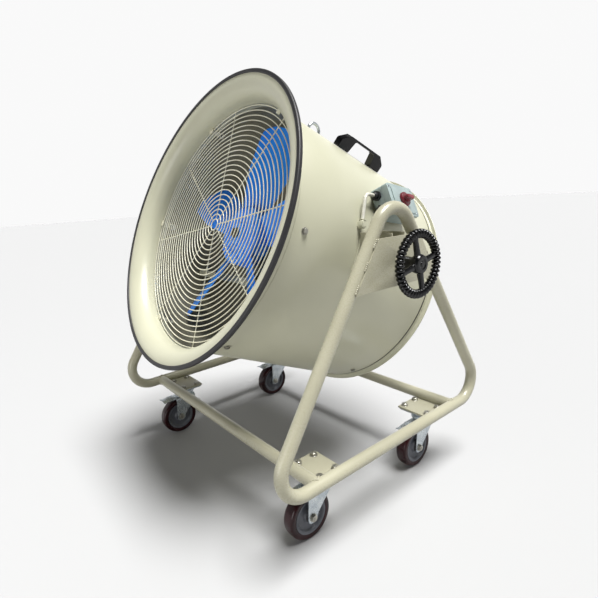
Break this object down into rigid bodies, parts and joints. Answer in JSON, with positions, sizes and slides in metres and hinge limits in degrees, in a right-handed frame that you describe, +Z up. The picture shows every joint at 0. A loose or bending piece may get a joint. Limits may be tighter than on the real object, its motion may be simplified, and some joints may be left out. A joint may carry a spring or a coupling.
{
  "type": "drum fan",
  "caption": "Tilting drum fan on a wheeled stand of two tube triangles, with a flared bell, wire guards, paddle impeller, clamping handwheel and braked swivel casters.",
  "frame": {"origin": "on the floor, midway between the swivel axes of the four casters and below the drum's tilt axis", "axes": "+Z up; +X along the tilt axis to the clamping handwheel; the inlet bell faces -Y, tipped 24 degrees up"},
  "size_m": [0.997, 0.8826, 1.1583],
  "materials": {
    "frame_paint": "powder coated, satin",
    "drum_paint": "powder coated, satin",
    "guard_wire": "powder coated, satin",
    "edge_rubber": "dull",
    "impeller_paint": "gloss",
    "hub_paint": "gloss",
    "black_plastic": "gloss",
    "zinc_steel": "zinc plated, satin",
    "wheel_rubber": "moulded, satin",
    "pedal_steel": "zinc plated, satin",
    "motor_paint": "satin",
    "box_plastic": "fine texture",
    "knob_plastic": "satin",
    "gland_plastic": "satin",
    "lead_sheath": "satin"
  },
  "bodies": {
    "frame": {"side_frame_left": "frame_paint", "side_frame_right": "frame_paint", "front_cross_tube": "frame_paint", "rear_cross_tube": "frame_paint", "caster_mounting_plates": "frame_paint", "pivot_plates": "frame_paint", "pivot_channels": "frame_paint", "pivot_sleeves": "frame_paint", "caster_plate_nuts": "zinc_steel", "caster_top_plates": "zinc_steel"},
    "drum": {"drum_shell": "drum_paint", "bell_mouth": "drum_paint", "bell_edge_trim": "edge_rubber", "front_guard": "guard_wire", "rear_guard": "guard_wire", "front_guard_clips": "guard_wire", "rear_guard_clips": "guard_wire", "guard_bolts": "zinc_steel", "pivot_spindles": "zinc_steel", "lifting_eye": "zinc_steel", "motor": "motor_paint", "motor_plate": "drum_paint", "pull_handle": "black_plastic", "isolator_base": "box_plastic", "isolator_lid": "box_plastic", "isolator_mount": "drum_paint", "cable_glands": "gland_plastic", "motor_cable": "lead_sheath", "motor_terminal_box": "motor_paint", "cable_elbow": "gland_plastic", "cable_conduit": "zinc_steel"},
    "impeller": {"impeller_hub": "hub_paint", "impeller_blade_1": "impeller_paint", "impeller_blade_2": "impeller_paint", "impeller_blade_3": "impeller_paint", "impeller_blade_4": "impeller_paint", "impeller_blade_5": "impeller_paint", "motor_shaft": "zinc_steel"},
    "handwheel": {"tilt_handwheel": "black_plastic"},
    "isolator_knob": {"isolator_knob": "knob_plastic"},
    "caster_front_left": {"caster_fork_front_left": "zinc_steel"},
    "wheel_front_left": {"caster_wheel_front_left": "wheel_rubber"},
    "pedal_front_left": {"brake_pedal_front_left": "pedal_steel"},
    "caster_front_right": {"caster_fork_front_right": "zinc_steel"},
    "wheel_front_right": {"caster_wheel_front_right": "wheel_rubber"},
    "pedal_front_right": {"brake_pedal_front_right": "pedal_steel"},
    "caster_rear_left": {"caster_fork_rear_left": "zinc_steel"},
    "wheel_rear_left": {"caster_wheel_rear_left": "wheel_rubber"},
    "pedal_rear_left": {"brake_pedal_rear_left": "pedal_steel"},
    "caster_rear_right": {"caster_fork_rear_right": "zinc_steel"},
    "wheel_rear_right": {"caster_wheel_rear_right": "wheel_rubber"},
    "pedal_rear_right": {"brake_pedal_rear_right": "pedal_steel"}
  },
  "joints": [
    {"name": "drum_tilt", "type": "hinge", "parent": "frame", "child": "drum", "pos_m": [0, 0, 0.658], "axis": [1, 0, 0], "range_deg": [-66, 114]},
    {"name": "impeller_spin", "type": "hinge", "parent": "drum", "child": "impeller", "pos_m": [0, 0, 0.658], "axis": [0, -0.9135, 0.4067], "continuous": true},
    {"name": "handwheel_turn", "type": "hinge", "parent": "drum", "child": "handwheel", "pos_m": [0.5065, 0, 0.658], "axis": [1, 0, 0], "range_deg": [0, 360]},
    {"name": "isolator_turn", "type": "hinge", "parent": "drum", "child": "isolator_knob", "pos_m": [0.36513, 0.13343, 0.79787], "axis": [0.8949, 0.1815, 0.4076], "range_deg": [0, 90]},
    {"name": "swivel_front_left", "type": "hinge", "parent": "frame", "child": "caster_front_left", "pos_m": [-0.363, -0.215, 0.135], "axis": [0, 0, 1], "continuous": true},
    {"name": "roll_front_left", "type": "hinge", "parent": "caster_front_left", "child": "wheel_front_left", "pos_m": [-0.363, -0.254, 0.0625], "axis": [1, 0, 0], "continuous": true},
    {"name": "brake_front_left", "type": "hinge", "parent": "caster_front_left", "child": "pedal_front_left", "pos_m": [-0.363, -0.254, 0.131], "axis": [1, 0, 0], "range_deg": [0, 12]},
    {"name": "swivel_front_right", "type": "hinge", "parent": "frame", "child": "caster_front_right", "pos_m": [0.363, -0.215, 0.135], "axis": [0, 0, 1], "continuous": true},
    {"name": "roll_front_right", "type": "hinge", "parent": "caster_front_right", "child": "wheel_front_right", "pos_m": [0.363, -0.254, 0.0625], "axis": [1, 0, 0], "continuous": true},
    {"name": "brake_front_right", "type": "hinge", "parent": "caster_front_right", "child": "pedal_front_right", "pos_m": [0.363, -0.254, 0.131], "axis": [1, 0, 0], "range_deg": [0, 12]},
    {"name": "swivel_rear_left", "type": "hinge", "parent": "frame", "child": "caster_rear_left", "pos_m": [-0.363, 0.215, 0.135], "axis": [0, 0, 1], "continuous": true},
    {"name": "roll_rear_left", "type": "hinge", "parent": "caster_rear_left", "child": "wheel_rear_left", "pos_m": [-0.363, 0.176, 0.0625], "axis": [1, 0, 0], "continuous": true},
    {"name": "brake_rear_left", "type": "hinge", "parent": "caster_rear_left", "child": "pedal_rear_left", "pos_m": [-0.363, 0.176, 0.131], "axis": [1, 0, 0], "range_deg": [0, 12]},
    {"name": "swivel_rear_right", "type": "hinge", "parent": "frame", "child": "caster_rear_right", "pos_m": [0.363, 0.215, 0.135], "axis": [0, 0, 1], "continuous": true},
    {"name": "roll_rear_right", "type": "hinge", "parent": "caster_rear_right", "child": "wheel_rear_right", "pos_m": [0.363, 0.176, 0.0625], "axis": [1, 0, 0], "continuous": true},
    {"name": "brake_rear_right", "type": "hinge", "parent": "caster_rear_right", "child": "pedal_rear_right", "pos_m": [0.363, 0.176, 0.131], "axis": [1, 0, 0], "range_deg": [0, 12]}
  ]
}
